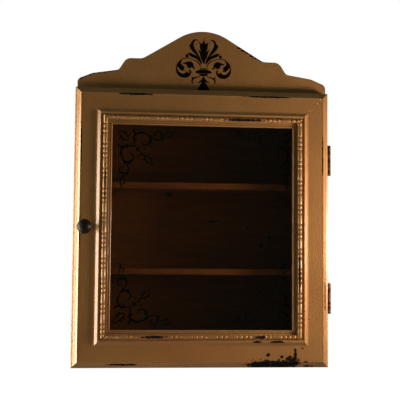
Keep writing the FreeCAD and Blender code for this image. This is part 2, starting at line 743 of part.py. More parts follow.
def build_door():
    leaf_front = DOOR_BACK - LEAF_THICKNESS
    leaf_screws, leaf_holes = screw_set(hinge_screw_places(DOOR_BACK), V(0, -1, 0), HINGE_SCREW_LENGTH)
    strike_spot = V(CATCH_X, DOOR_BACK + STRIKE_THICKNESS, CATCH_Z)
    strike_screws, strike_holes = screw_set([strike_spot], V(0, -1, 0), STRIKE_SCREW_LENGTH)
    knob_spot = V(KNOB_FROM_EDGE - CASE_HALF, DOOR_BACK, DOOR_MIDDLE - KNOB_DROP)
    knob_screws, knob_holes = screw_set([knob_spot], V(0, -1, 0), DOOR_THICKNESS + KNOB_SCREW_BITE)
    splines = corner_splines()
    pins = []
    for side in SIDES:
        centres, along = pin_centres(side)
        side_pins, pin_holes = brad_set(centres, PIN_SIZE, PIN_LENGTH, along)
        pins += side_pins
        save("glazing_strip_" + side, cut_all(mitred_stick(strip_section(), side), pin_holes))
        save("moulding_" + side, mitred_stick(moulding_section(), side))
        save("beading_" + side, bead_string(side))
        member = cut_all(mitred_stick(frame_section(), side), splines + pin_holes)
        if side == "right":
            member = cut_all(member, leaf_mortise(leaf_front) + leaf_holes)
        if side == "left":
            member = cut_all(member, knob_holes)
        if side == "top":
            member = cut_all(member, strike_holes)
        kind = "_rail" if side in ("bottom", "top") else "_stile"
        save("door_" + side + kind, member)
    save("glazing_pins", pins)
    save("corner_splines", splines)
    save("glass_pane", glass_pane())
    for name, centre in HINGE_CENTRES.items():
        outer, middle = hinge_knuckles(centre)
        save(name + "_hinge_door_leaf", hinge_leaf(centre, leaf_front, middle, outer, leaf_holes))
    save("hinge_door_screws", leaf_screws)
    save("strike_plate", strike_plate(strike_holes))
    save("strike_screw", strike_screws)
    save("knob", knob(knob_holes))
    save("knob_screw", knob_screws)


os.makedirs("parts", exist_ok=True)
build_case()
build_door()
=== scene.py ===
# Wall display cabinet: worn gold paint over black, stencilled scrolls, stained pine, glass and bronze.
import bpy
import json
import math
from mathutils import Matrix, Vector

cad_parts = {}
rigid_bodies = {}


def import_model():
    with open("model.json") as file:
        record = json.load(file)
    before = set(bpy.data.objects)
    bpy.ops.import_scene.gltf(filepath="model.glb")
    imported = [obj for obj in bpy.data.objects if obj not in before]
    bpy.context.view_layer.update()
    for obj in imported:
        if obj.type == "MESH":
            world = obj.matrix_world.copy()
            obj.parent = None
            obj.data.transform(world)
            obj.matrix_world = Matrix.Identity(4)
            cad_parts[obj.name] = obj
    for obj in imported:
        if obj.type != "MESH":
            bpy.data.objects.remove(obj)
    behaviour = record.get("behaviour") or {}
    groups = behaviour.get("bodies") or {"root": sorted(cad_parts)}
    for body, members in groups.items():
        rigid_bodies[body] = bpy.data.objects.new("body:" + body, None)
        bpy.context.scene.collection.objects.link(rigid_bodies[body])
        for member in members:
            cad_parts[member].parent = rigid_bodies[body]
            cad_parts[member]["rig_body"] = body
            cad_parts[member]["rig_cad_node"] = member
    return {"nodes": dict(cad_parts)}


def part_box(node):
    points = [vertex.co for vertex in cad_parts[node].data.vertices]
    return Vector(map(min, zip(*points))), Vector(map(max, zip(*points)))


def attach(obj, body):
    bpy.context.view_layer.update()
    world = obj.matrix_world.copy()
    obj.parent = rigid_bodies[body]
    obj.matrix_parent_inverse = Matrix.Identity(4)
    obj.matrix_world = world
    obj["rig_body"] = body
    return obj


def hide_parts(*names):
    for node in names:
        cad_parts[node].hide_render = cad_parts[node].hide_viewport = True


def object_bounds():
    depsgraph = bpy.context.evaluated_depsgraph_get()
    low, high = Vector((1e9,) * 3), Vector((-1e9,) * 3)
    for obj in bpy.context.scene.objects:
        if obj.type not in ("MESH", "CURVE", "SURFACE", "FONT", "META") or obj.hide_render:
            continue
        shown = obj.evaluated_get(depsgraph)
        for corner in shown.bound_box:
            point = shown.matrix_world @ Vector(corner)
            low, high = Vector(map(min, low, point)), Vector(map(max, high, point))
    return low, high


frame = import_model()
cadLow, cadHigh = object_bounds()
mm = 0.001
print("frame loaded:", len(frame["nodes"]), "nodes")


# general helpers

def deselectAll():
    if bpy.context.mode != "OBJECT":
        bpy.ops.object.mode_set(mode="OBJECT")
    bpy.ops.object.select_all(action="DESELECT")


def makeActive(piece):
    deselectAll()
    piece.select_set(True)
    bpy.context.view_layer.objects.active = piece


def hexColour(text):
    shares = [int(text[i:i + 2], 16) / 255 for i in (1, 3, 5)]
    linear = [s / 12.92 if s <= 0.04045 else ((s + 0.055) / 1.055) ** 2.4 for s in shares]
    return (*linear, 1.0)


def wireUp(tree, node, wires):
    # a link where an output is given, and otherwise a value on the node's own socket
    for socket, value in wires.items():
        if isinstance(value, bpy.types.NodeSocket):
            tree.links.new(value, node.inputs[socket])
        else:
            node.inputs[socket].default_value = value


def addNode(tree, kind, wires=None, **settings):
    node = tree.nodes.new("ShaderNode" + kind)
    for name, value in settings.items():
        setattr(node, name, value)
    wireUp(tree, node, wires or {})
    return node


def newMaterial(name):
    material = bpy.data.materials.new(name)
    material.use_nodes = True
    tree = material.node_tree
    return material, tree, tree.nodes["Principled BSDF"]


def millimetres(tree):
    # the piece's own coordinates, in millimetres of the part's frame
    place = addNode(tree, "TexCoord").outputs["Object"]
    return addNode(tree, "VectorMath", {0: place, "Scale": 1 / mm}, operation="SCALE").outputs[0]


def newCurve(name, dimensions):
    deselectAll()
    bpy.ops.curve.primitive_bezier_curve_add()
    piece = bpy.context.object
    piece.name = name
    piece.data.splines.clear()
    piece.data.dimensions = dimensions
    return piece, piece.data


def mergeAll(threshold, outward=True, flatDegrees=None):
    # doubles nearer than the threshold in millimetres, and then the edges inside flat faces
    bpy.ops.object.mode_set(mode="EDIT")
    bpy.ops.mesh.select_all(action="SELECT")
    bpy.ops.mesh.remove_doubles(threshold=threshold * mm)
    if outward:
        bpy.ops.mesh.normals_make_consistent(inside=False)
    if flatDegrees:
        bpy.ops.mesh.dissolve_limited(angle_limit=math.radians(flatDegrees))
    bpy.ops.mesh.select_all(action="DESELECT")
    bpy.ops.object.mode_set(mode="OBJECT")


def smoothRounds(piece, degrees):
    # smooth over the rounds, with the broad faces left flat
    bpy.ops.object.shade_smooth_by_angle(angle=math.radians(degrees))
    flats = piece.modifiers.new("flats", "WEIGHTED_NORMAL")
    flats.keep_sharp = True
    flats.weight = 90
    bpy.ops.object.modifier_apply(modifier=flats.name)


# camera: the place and turn that the door's corners give in the photograph

photoView = {
    "lens": 81.0,
    "sensor": 36.0,
    "placeMm": (-159.4, -1594.75, -228.3),
    "yaw": 6.043,
    "pitch": 4.112,
    "roll": 0.4906,
}


def makeCamera():
    yaw, pitch, roll = (math.radians(photoView[k]) for k in ("yaw", "pitch", "roll"))
    ahead = Vector((math.sin(yaw) * math.cos(pitch), math.cos(yaw) * math.cos(pitch), math.sin(pitch)))
    level = Vector((math.cos(yaw), -math.sin(yaw), 0))
    upright = level.cross(ahead)
    right = level * math.cos(roll) + upright * math.sin(roll)
    up = upright * math.cos(roll) - level * math.sin(roll)
    deselectAll()
    bpy.ops.object.camera_add()
    camera = bpy.context.object
    camera.name = "photoCamera"
    camera.data.lens = photoView["lens"]
    camera.data.sensor_width = photoView["sensor"]
    turn = Matrix((right, up, -ahead)).transposed().to_4x4()
    camera.matrix_world = Matrix.Translation(Vector(photoView["placeMm"]) * mm) @ turn
    bpy.context.scene.camera = camera


makeCamera()
print("camera placed")


# stage: soft lamps at both sides, a faint glow from below, a dim room in front and a white one behind

lamps = {
    "leftWindow": {
        "azimuth": -92, "height": -10, "away": 0.9, "wide": 0.45, "tall": 0.8,
        "power": 10.5, "colour": "#F2F6EC", "mirrored": True,
    },
    "rightLamp": {
        "azimuth": 70, "height": -5, "away": 0.72, "wide": 0.14, "tall": 0.14,
        "power": 3.2, "colour": "#FFF4E0", "mirrored": True,
    },
    "lowGlow": {
        "azimuth": -10, "height": -60, "away": 0.5, "wide": 0.1, "tall": 0.1,
        "power": 0.08, "colour": "#FFB898", "mirrored": False,
    },
}
lampAimMm = (0, -120, -120)
lampSpread = 150
room = {
    "skyColour": "#D6F4D0",
    "skyLevel": 0.125,           # over the object
    "frontLevel": 0.025,         # as metal and glass see the room in front
    "skyFrom": (0.1, 0.6),       # heights between which the front turns to sky
    "behindFrom": (0.5, 0.8),    # depths between which the front turns to the white backdrop
    "behindUnder": 0.25,         # height over which the backdrop ends
    "floorDrop": 0.9,
    "floorSize": 14.0,
    "floorColour": "#F4F1EC",
    "floorRoughness": 0.9,
    "floorLift": 0.98,
    "floorBehind": (3.0, 6.0),   # how far back the sheen begins to see the white floor
}


def makeLamps():
    aim = Vector(lampAimMm) * mm
    for name, lamp in lamps.items():
        turn, lift = math.radians(lamp["azimuth"]), math.radians(lamp["height"])
        reach = Vector((math.sin(turn) * math.cos(lift), -math.cos(turn) * math.cos(lift), math.sin(lift)))
        deselectAll()
        bpy.ops.object.light_add(type="AREA", location=aim + reach * lamp["away"])
        light = bpy.context.object
        light.name = name
        light.data.shape = "RECTANGLE"
        light.data.size, light.data.size_y = lamp["wide"], lamp["tall"]
        light.data.energy = lamp["power"]
        light.data.spread = math.radians(lampSpread)
        light.data.color = hexColour(lamp["colour"])[:3]
        light.rotation_euler = (-reach).to_track_quat("-Z", "Y").to_euler()
        light.visible_camera = False
        light.visible_glossy = light.visible_transmission = lamp["mirrored"]     # seen in the glass or not


def whiteShare(tree, behind):
    # 1 for the camera, and for sheen and glass as far as what they see lies behind the object
    ray = addNode(tree, "LightPath").outputs
    sheen, through = ray["Is Glossy Ray"], ray["Is Transmission Ray"]
    mirrored = addNode(tree, "Math", {0: sheen, 1: through}, operation="MAXIMUM")
    reflected = addNode(tree, "Math", {0: mirrored.outputs[0], 1: behind}, operation="MULTIPLY")
    seen = {0: ray["Is Camera Ray"], 1: reflected.outputs[0]}
    return addNode(tree, "Math", seen, operation="MAXIMUM").outputs[0]


def makeRoom():
    # white where the camera and the sheen look past the object, dim in front, faintly green overhead
    world = bpy.data.worlds.new("studioRoom")
    bpy.context.scene.world = world
    world.use_nodes = True
    tree = world.node_tree
    tree.nodes.clear()
    place = addNode(tree, "TexCoord")
    parts = addNode(tree, "SeparateXYZ", {0: place.outputs["Generated"]})
    soft = {"interpolation_type": "SMOOTHSTEP"}
    near, far = room["behindFrom"]
    behind = addNode(tree, "MapRange", {0: parts.outputs[1], 1: near, 2: far}, **soft)
    fade = {1: 0.0, 2: room["behindUnder"], 3: 1.0, 4: 0.0}
    level = addNode(tree, "MapRange", {0: parts.outputs[2], **fade}, **soft)
    backdrop = addNode(tree, "Math", {0: behind.outputs[0], 1: level.outputs[0]}, operation="MULTIPLY")
    white = whiteShare(tree, backdrop.outputs[0])
    low, high = room["skyFrom"]
    levels = {3: room["frontLevel"], 4: room["skyLevel"]}
    over = addNode(tree, "MapRange", {0: parts.outputs[2], 1: low, 2: high, **levels}, **soft)
    dim = addNode(tree, "Background", {0: hexColour(room["skyColour"]), 1: over.outputs[0]})
    bright = addNode(tree, "Background", {0: (1, 1, 1, 1), 1: 1.0})
    blend = addNode(tree, "MixShader", {0: white, 1: dim.outputs[0], 2: bright.outputs[0]})
    addNode(tree, "OutputWorld", {0: blend.outputs[0]})


def makeFloor():
    deselectAll()
    bpy.ops.mesh.primitive_plane_add(size=room["floorSize"], location=(0, 0, cadLow.z - room["floorDrop"]))
    floor = bpy.context.object
    floor.name = "paleFloor"
    material, tree, shader = newMaterial("paleFloorPaint")
    place = addNode(tree, "TexCoord")
    parts = addNode(tree, "SeparateXYZ", {0: place.outputs["Object"]})
    near, far = room["floorBehind"]
    behind = addNode(tree, "MapRange", {0: parts.outputs[1], 1: near, 2: far})
    seen = whiteShare(tree, behind.outputs[0])
    lift = addNode(tree, "Math", {0: seen, 1: room["floorLift"]}, operation="MULTIPLY")
    wireUp(tree, shader, {
        "Base Color": hexColour(room["floorColour"]), "Roughness": room["floorRoughness"],
        "Emission Color": (1, 1, 1, 1), "Emission Strength": lift.outputs[0],
    })
    floor.data.materials.append(material)


makeLamps()
makeRoom()
makeFloor()
bpy.context.scene.view_settings.view_transform = "Standard"
print("stage lit")


# gold paint: metallic acrylic brushed over a black undercoat, satin, with a fine leathery skin

goldPaint = {
    "light": "#C68B53",
    "deep": "#B47A48",
    "patchMm": 60.0,      # broad thin and thick places of the coat
    "skinMm": 2.2,        # leathery skin, drawn coarser than it is so that it shows
    "skinTurn": 40.0,
    "skinSqueeze": (1, 1, 0.8),
    "skinShare": 0.6,     # of the skin in the mottled colour
    "skinDepthMm": 0.75,
    "metallic": 0.35,
    "roughness": (0.45, 0.56),    # over the skin
    "varnish": 1.0,
    "varnishRoughness": 0.25,
    "sheen": 0.15,        # of the undercoat, where the varnish is gone
    "undercoat": "#0C0A07",
    "halo": "#43200F",
    "raggedMm": 5.0,
    "raggedShift": 0.5,           # of a worn place's edge, in or out, as a share of its half size
    "coreBand": (0.86, 0.98),     # of a worn place: bare undercoat inside, then a brown halo, then gold
    "haloBand": (0.98, 1.18),
    "notchShadeBand": (0.45, 0.85),    # painted shade by a string's depth into its notches: gold above, the undercoat's black below
}

# stained pine: dark brown oil stain on knotty pine, dull, with the grain showing through

stainedPine = {
    "light": "#7C3E0B",
    "dark": "#4D2405",
    "ringMm": 7.0,
    "poreMm": 0.8333,     # drawn coarser than pores are, so that they show
    "stretch": 14.0,
    "roughness": 0.65,
    "sheen": 0.1,
    "poreDepthMm": 0.08,
    "knot": "#0E0603",
    "knotBand": (0.5, 1.15),      # of a knot's half size: dark inside, clear wood outside
}

# worn places and knots: middle and half sizes in millimetres of the part's frame

wornDoor = {
    "bottomPatchLeft": ((100, -133, -389.5), (23, 14, 7)),
    "bottomPatchRight": ((131, -133, -389.5), (27, 14, 7.5)),
    "bottomPatchEnd": ((152, -133, -387), (9, 14, 7)),
    "spikeFoot": ((151, -136.5, -381), (6, 6, 5)),
    "spike": ((153.6, -136.5, -375), (2.6, 6, 11)),
    "chipTall": ((144.5, -136.5, -378.5), (2.6, 5, 3.6)),
    "chipSmall": ((140.5, -136.5, -380), (3.2, 5, 2.6)),
    "chipMiddle": ((131.5, -136.5, -377), (2.4, 5, 2.4)),
    "chipLeft": ((108.8, -136.5, -373.6), (3.4, 5, 2.4)),
    "edgeChipUpper": ((170.8, -134, -385), (4.6, 6, 1.6)),
    "edgeChipLower": ((173.5, -130, -392.3), (4.4, 8, 1.7)),
    "edgeChipFar": ((182, -130, -393), (2.8, 8, 1.3)),
    "mouldingDashLeft": ((90.3, -141, -352.6), (6.6, 7, 1.7)),
    "mouldingDashRight": ((123.2, -141, -352.6), (11.8, 7, 1.8)),
    "bottomLeftStreak": ((-127, -131, -389), (27, 6, 1.7)),
    "topLeftStreak": ((-112, -137, 49.4), (26, 4, 1.6)),
    "topRightStreak": ((107, -137, 50.2), (34, 4, 1.5)),
    "rightEdgeUpper": ((199.6, -137, -47), (1.0, 4, 33)),
    "rightEdgeLower": ((204, -134, -280), (0.9, 5, 25)),
    # thin dark red-brown lines down the inner slope of the left rim
    "leftEdgeUpper": ((-199, -137, -33), (1.0, 4, 30)),
    "leftEdgeLower": ((-199, -137, -170), (0.9, 4, 22)),
    "speckTop": ((177.2, -136.5, 16.2), (1.1, 4, 1.1)),
    "speckLow": ((176.3, -136.5, -316.3), (1.2, 4, 1.2)),
    "speckCorner": ((165.5, -136.5, -363.4), (1.4, 4, 1.2)),
}
wornBeads = {
    "leftRun": ((-159.5, -143, -100), (1.3, 8, 30)),
    "rightRun": ((159.5, -143, -242), (1.6, 8, 32)),
    "topRun": ((64, -143, 9.5), (30, 8, 2.0)),
    "bottomRun": ((-77, -143, -344.5), (19, 8, 2.0)),
    "bottomDash": ((95, -143, -345), (9, 8, 2.2)),
}
rubbedCrest = {
    "leftWing": ((-204, 78.4), (-198, 81.4), (-191, 84.3), (-183, 86.6), (-174, 88.4), (-165, 89.9),
                 (-156, 91.3), (-148, 92.6)),
    "rightFlank": ((64, 136.6), (71, 132.3), (78, 128.1), (85, 123.9), (92, 119.9), (100, 116.3),
                   (109, 114.2)),
    "halves": (5.5, 4, 1.9),
}
backKnots = {     # and splits, in the back panel's front face
    "roundKnot": ((-47.5, -16, -105.5), (7, 4, 3.4)),
    "upperSplit": ((101, -16, -99), (1.7, 4, 5.6)),
    "lowerSplit": ((92.5, -16, -162.5), (1.8, 4, 4.6)),
    "darkKnot": ((116.5, -16, -194), (4, 4, 3.6)),
    "paleKnot": ((131.5, -16, -178.5), (4.6, 4, 3.4)),
    "longFigure": ((32.5, -16, -152), (12, 4, 2.2)),
}
wornCrest = {"peakEdge": ((2, -115, 163), (26, 9, 0.9))}
for run in ("leftWing", "rightFlank"):
    for i, (across, up) in enumerate(rubbedCrest[run]):
        wornCrest[run + str(i)] = ((across, -115, up), rubbedCrest["halves"])


def nearness(tree, place, middle, halves):
    # 0 at the middle of an ellipsoid and 1 on its skin
    offset = addNode(tree, "VectorMath", {0: place, 1: middle}, operation="SUBTRACT")
    scaled = addNode(tree, "VectorMath", {0: offset.outputs[0], 1: halves}, operation="DIVIDE")
    return addNode(tree, "VectorMath", {0: scaled.outputs[0]}, operation="LENGTH").outputs[1]


def wornShare(tree, place, worn):
    # the nearest worn place, with a ragged edge
    nearest = None
    for middle, halves in worn.values():
        here = nearness(tree, place, middle, halves)
        if nearest is not None:
            here = addNode(tree, "Math", {0: nearest, 1: here}, operation="MINIMUM").outputs[0]
        nearest = here
    noise = {"Vector": place, "Scale": 1 / goldPaint["raggedMm"], "Detail": 5.0, "Roughness": 0.62}
    ragged = addNode(tree, "TexNoise", noise)
    most = goldPaint["raggedShift"]
    shift = addNode(tree, "MapRange", {0: ragged.outputs[0], 1: 0.3, 2: 0.7, 3: -most, 4: most})
    return addNode(tree, "Math", {0: nearest, 1: shift.outputs[0]}, operation="ADD").outputs[0]


def insideBox(tree, place, middle, halves):
    offset = addNode(tree, "VectorMath", {0: place, 1: middle}, operation="SUBTRACT")
    size = addNode(tree, "VectorMath", {0: offset.outputs[0]}, operation="ABSOLUTE")
    share = addNode(tree, "VectorMath", {0: size.outputs[0], 1: halves}, operation="DIVIDE")
    parts = addNode(tree, "SeparateXYZ", {0: share.outputs[0]})
    largest = addNode(tree, "Math", {0: parts.outputs[0], 1: parts.outputs[1]}, operation="MAXIMUM")
    largest = addNode(tree, "Math", {0: largest.outputs[0], 1: parts.outputs[2]}, operation="MAXIMUM")
    return addNode(tree, "Math", {0: largest.outputs[0], 1: 1.0}, operation="LESS_THAN").outputs[0]


def pineLayer(tree, place, grain):
    # colour and height of pine whose grain runs along x, y or z
    squeeze = [1.0, 1.0, 1.0]
    squeeze["xyz".index(grain)] = 1 / stainedPine["stretch"]
    along = addNode(tree, "VectorMath", {0: place, 1: squeeze}, operation="MULTIPLY")
    broad = {"Vector": along.outputs[0], "Scale": 1 / stainedPine["ringMm"], "Detail": 4.0, "Distortion": 0.6}
    rings = addNode(tree, "TexNoise", broad)
    small = {"Vector": along.outputs[0], "Scale": 1 / stainedPine["poreMm"], "Detail": 2.0}
    pores = addNode(tree, "TexNoise", small)
    share = addNode(tree, "MapRange", {0: rings.outputs[0], 1: 0.35, 2: 0.65})
    dark, light = hexColour(stainedPine["dark"]), hexColour(stainedPine["light"])
    colour = addNode(tree, "Mix", {0: share.outputs[0], 6: dark, 7: light}, data_type="RGBA")
    fine = addNode(tree, "MapRange", {0: pores.outputs[0], 1: 0.35, 2: 0.6, 3: 0.0, 4: 0.35})
    stained = {0: fine.outputs[0], 6: dark, 7: colour.outputs[2]}
    return addNode(tree, "Mix", stained, data_type="RGBA").outputs[2], rings.outputs[0]


def goldLayer(tree, place):
    broad = addNode(tree, "TexNoise", {"Vector": place, "Scale": 1 / goldPaint["patchMm"], "Detail": 3.0})
    turn = (0, math.radians(goldPaint["skinTurn"]), 0)
    turned = addNode(tree, "Mapping", {"Vector": place, "Rotation": turn, "Scale": goldPaint["skinSqueeze"]})
    fine = {"Vector": turned.outputs[0], "Scale": 1 / goldPaint["skinMm"], "Detail": 3.0, "Roughness": 0.6}
    skin = addNode(tree, "TexNoise", fine)
    mottled = addNode(tree, "Mix", {0: goldPaint["skinShare"], 2: broad.outputs[0], 3: skin.outputs[0]})
    share = addNode(tree, "MapRange", {0: mottled.outputs[0], 1: 0.35, 2: 0.65})
    deep, light = hexColour(goldPaint["deep"]), hexColour(goldPaint["light"])
    colour = addNode(tree, "Mix", {0: share.outputs[0], 6: deep, 7: light}, data_type="RGBA")
    smooth, dull = goldPaint["roughness"]
    rough = addNode(tree, "MapRange", {0: skin.outputs[0], 1: 0.3, 2: 0.7, 3: smooth, 4: dull})
    return colour.outputs[2], rough.outputs[0], skin.outputs[0]


def paintedPine(name, worn, bareBoxes=(), grain="z", notchShadeName=None):
    material, tree, shader = newMaterial(name)
    place = millimetres(tree)
    colour, rough, skin = goldLayer(tree, place)
    edge = wornShare(tree, place, worn)
    if notchShadeName:
        # painted shade: the strings darken to the undercoat's black the deeper into their notches
        notchShade = addNode(tree, "Attribute", attribute_name=notchShadeName).outputs["Fac"]
        first, last = goldPaint["notchShadeBand"]
        sound, bare = 2.0, 0.6     # well outside a worn place, and well inside
        notch = addNode(tree, "MapRange", {0: notchShade, 1: first, 2: last, 3: sound, 4: bare})
        edge = addNode(tree, "Math", {0: edge, 1: notch.outputs[0]}, operation="MINIMUM").outputs[0]
    halo, core = (addNode(tree, "MapRange", {0: edge, 1: goldPaint[band][0], 2: goldPaint[band][1]})
                  for band in ("haloBand", "coreBand"))
    black, brown = hexColour(goldPaint["undercoat"]), hexColour(goldPaint["halo"])
    under = addNode(tree, "Mix", {0: core.outputs[0], 6: black, 7: brown}, data_type="RGBA")
    gold = halo.outputs[0]
    colour = addNode(tree, "Mix", {0: gold, 6: under.outputs[2], 7: colour}, data_type="RGBA").outputs[2]
    if bareBoxes:
        pine = pineLayer(tree, place, grain)[0]
    for middle, halves in bareBoxes:
        bare = insideBox(tree, place, middle, halves)
        colour = addNode(tree, "Mix", {0: bare, 6: colour, 7: pine}, data_type="RGBA").outputs[2]
        kept = addNode(tree, "Math", {0: 1.0, 1: bare}, operation="SUBTRACT")
        gold = addNode(tree, "Math", {0: gold, 1: kept.outputs[0]}, operation="MULTIPLY").outputs[0]
    shine = addNode(tree, "Math", {0: gold, 1: goldPaint["metallic"]}, operation="MULTIPLY")
    dull = addNode(tree, "MapRange", {0: gold, 3: stainedPine["roughness"], 4: rough})
    bump = addNode(tree, "Bump", {"Strength": 1.0, "Distance": goldPaint["skinDepthMm"] * mm, "Height": skin})
    coat = addNode(tree, "Math", {0: gold, 1: goldPaint["varnish"]}, operation="MULTIPLY")
    wireUp(tree, shader, {
        "Base Color": colour, "Metallic": shine.outputs[0], "Roughness": dull.outputs[0],
        "Coat Weight": coat.outputs[0], "Coat Roughness": goldPaint["varnishRoughness"],
        "Specular IOR Level": goldPaint["sheen"], "Normal": bump.outputs[0],
    })
    return material


def barePine(name, grain, knots=None):
    material, tree, shader = newMaterial(name)
    place = millimetres(tree)
    colour, rings = pineLayer(tree, place, grain)
    if knots:
        edge = wornShare(tree, place, knots)
        dark, pale = stainedPine["knotBand"]
        clear = addNode(tree, "MapRange", {0: edge, 1: dark, 2: pale})
        knotted = {0: clear.outputs[0], 6: hexColour(stainedPine["knot"]), 7: colour}
        colour = addNode(tree, "Mix", knotted, data_type="RGBA").outputs[2]
    depth = stainedPine["poreDepthMm"] * mm
    bump = addNode(tree, "Bump", {"Strength": 0.6, "Distance": depth, "Height": rings})
    wireUp(tree, shader, {
        "Base Color": colour, "Roughness": stainedPine["roughness"],
        "Specular IOR Level": stainedPine["sheen"], "Normal": bump.outputs[0],
    })
    return material


# float glass: clear, faintly green in its thickness, with a hard reflection

pane = {"tint": "#F2F6F3", "refraction": 1.5, "filmMm": 60.0, "haze": (0.01, 0.05)}


def floatGlass():
    material, tree, shader = newMaterial("floatGlass")
    place = millimetres(tree)
    smears = addNode(tree, "TexNoise", {"Vector": place, "Scale": 1 / pane["filmMm"], "Detail": 3.0})
    clear, dull = pane["haze"]
    haze = addNode(tree, "MapRange", {0: smears.outputs[0], 1: 0.4, 2: 0.75, 3: clear, 4: dull})
    wireUp(tree, shader, {
        "Base Color": hexColour(pane["tint"]), "Transmission Weight": 1.0,
        "IOR": pane["refraction"], "Roughness": haze.outputs[0],
    })
    return material


# stencil paint: thin matt black, a little patchy where the brush ran dry

stencilPaint = {"full": "#070804", "dry": "#17120A", "dryMm": 1.1111, "roughness": 0.75, "sheen": 0.05}


def stencilBlack():
    material, tree, shader = newMaterial("stencilBlack")
    place = millimetres(tree)
    patches = {"Vector": place, "Scale": 1 / stencilPaint["dryMm"], "Detail": 3.0, "Roughness": 0.7}
    dry = addNode(tree, "TexNoise", patches)
    share = addNode(tree, "MapRange", {0: dry.outputs[0], 1: 0.55, 2: 0.75})
    full, thin = hexColour(stencilPaint["full"]), hexColour(stencilPaint["dry"])
    colour = addNode(tree, "Mix", {0: share.outputs[0], 6: full, 7: thin}, data_type="RGBA")
    wireUp(tree, shader, {
        "Base Color": colour.outputs[2], "Roughness": stencilPaint["roughness"],
        "Specular IOR Level": stencilPaint["sheen"],
    })
    return material


# fittings: a main colour with worn spots of another, by noise at a real size

fittings = {
    # cast bronze, darkened: nearly black and satin, with browner rubbed spots
    "darkBronze": {"main": "#1F1915", "worn": "#382B21", "spotMm": 5.0, "metallic": 0.6,
                   "roughness": (0.4, 0.53)},
    # pressed steel with a bronze finish: brown, with paler worn spots
    "bronzedSteel": {"main": "#3C241A", "worn": "#7C6658", "spotMm": 6.0, "metallic": 0.9,
                     "roughness": (0.33, 0.46)},
    # drawn steel: grey and dull, with darker spots
    "dullSteel": {"main": "#7C7872", "worn": "#55524D", "spotMm": 2.0, "metallic": 1.0,
                  "roughness": (0.37, 0.5)},
    # zinc plated steel: pale grey with a soft shine
    "zincPlate": {"main": "#B4B3AE", "worn": "#8D8C88", "spotMm": 4.0, "metallic": 1.0,
                  "roughness": (0.31, 0.44)},
    # sintered ferrite: charcoal and matt
    "ferrite": {"main": "#1F1F21", "worn": "#2C2C2E", "spotMm": 1.5, "metallic": 0.2,
                "roughness": (0.65, 0.78)},
    # moulded plastic: even brown with a low gloss
    "brownPlastic": {"main": "#4C2E1B", "worn": "#3E2415", "spotMm": 3.0, "metallic": 0.0,
                     "roughness": (0.45, 0.58)},
}


def spottedMaterial(name):
    look = fittings[name]
    material, tree, shader = newMaterial(name)
    place = millimetres(tree)
    spots = addNode(tree, "TexNoise", {"Vector": place, "Scale": 1 / look["spotMm"], "Detail": 4.0})
    share = addNode(tree, "MapRange", {0: spots.outputs[0], 1: 0.42, 2: 0.72})
    main, worn = hexColour(look["main"]), hexColour(look["worn"])
    colour = addNode(tree, "Mix", {0: share.outputs[0], 6: main, 7: worn}, data_type="RGBA")
    smooth, dull = look["roughness"]
    rough = addNode(tree, "MapRange", {0: spots.outputs[0], 1: 0.3, 2: 0.7, 3: smooth, 4: dull})
    wireUp(tree, shader, {
        "Base Color": colour.outputs[2], "Roughness": rough.outputs[0], "Metallic": look["metallic"],
    })
    return material


# bare wood: boxes with stain and no gold, inside the case and at the backs of the boards

bareWood = {"inside": 0.2, "caseBack": 0.5, "doorBack": 0.3, "crestBack": 0.5}     # millimetres past the face


def insideCase():
    (outerLow, innerLow), (innerHigh, outerHigh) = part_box("left_side"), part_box("right_side")
    low = Vector((innerLow.x, outerLow.y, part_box("bottom_board")[1].z)) / mm
    high = Vector((innerHigh.x, outerHigh.y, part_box("top_board")[0].z)) / mm
    past = bareWood["inside"]
    return (low + high) / 2, (high - low) / 2 + Vector((past, past, past))


def backFace(node, past):
    middle, halves = (cadLow + cadHigh) / 2 / mm, (cadHigh - cadLow) / mm
    middle.y, halves.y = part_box(node)[1].y / mm, past
    return middle, halves


bareCase = [insideCase(), backFace("left_side", bareWood["caseBack"])]
bareDoor = [backFace("door_left_stile", bareWood["doorBack"])]
bareCrest = [backFace("crest_board", bareWood["crestBack"])]

materials = {
    "goldDoor": paintedPine("goldPaintDoor", wornDoor, bareDoor),
    "goldBeads": paintedPine("goldPaintBeads", wornBeads, notchShadeName="notchShade"),
    "goldCaseUpright": paintedPine("goldPaintSides", wornCrest, bareCase, "z"),
    "goldCaseLevel": paintedPine("goldPaintEnds", wornCrest, bareCase, "x"),
    "goldCrest": paintedPine("goldPaintCrest", wornCrest, bareCrest, "x"),
    "pineLevel": barePine("stainedPineLevel", "x"),
    "pineUpright": barePine("stainedPineUpright", "z"),
    "pineBack": barePine("stainedPineBack", "x", backKnots),
    "glass": floatGlass(),
    "stencil": stencilBlack(),
}
for name in fittings:
    materials[name] = spottedMaterial(name)
print("materials ready:", len(materials))


# finishing

def wear(piece, material):
    piece.data.materials.clear()
    piece.data.materials.append(materials[material])


def finishPiece(piece, body, material, replaced=()):
    wear(piece, material)
    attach(piece, body)
    if replaced:
        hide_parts(*replaced)


def bodyOf(node):
    return frame["nodes"][node]["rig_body"]


# dressed boards and hinges: a merged copy of each node, with its arrises rubbed round

dressed = {     # material: radius of the arrises in millimetres, nodes
    "goldCaseUpright": (0.7, ["left_side", "right_side"]),
    "goldCaseLevel": (0.6, ["top_board", "bottom_board"]),
    "pineLevel": (0.8, ["upper_shelf", "lower_shelf"]),
    "goldDoor": (0.2, ["door_left_stile", "door_right_stile", "door_top_rail", "door_bottom_rail",
                       "moulding_left", "moulding_right", "moulding_top", "moulding_bottom"]),
    "bronzedSteel": (0.0, ["upper_hinge_case_leaf", "lower_hinge_case_leaf", "upper_hinge_door_leaf",
                           "lower_hinge_door_leaf", "upper_hinge_pin", "lower_hinge_pin"]),
}
arrisShape = {"segments": 3, "overDegrees": 22}


# mouldings: a narrower bevel than the sawn stick's, with its arris planed below the string's crown
# door frame: the rim's crown is rubbed down, so it stands only a little over the flat

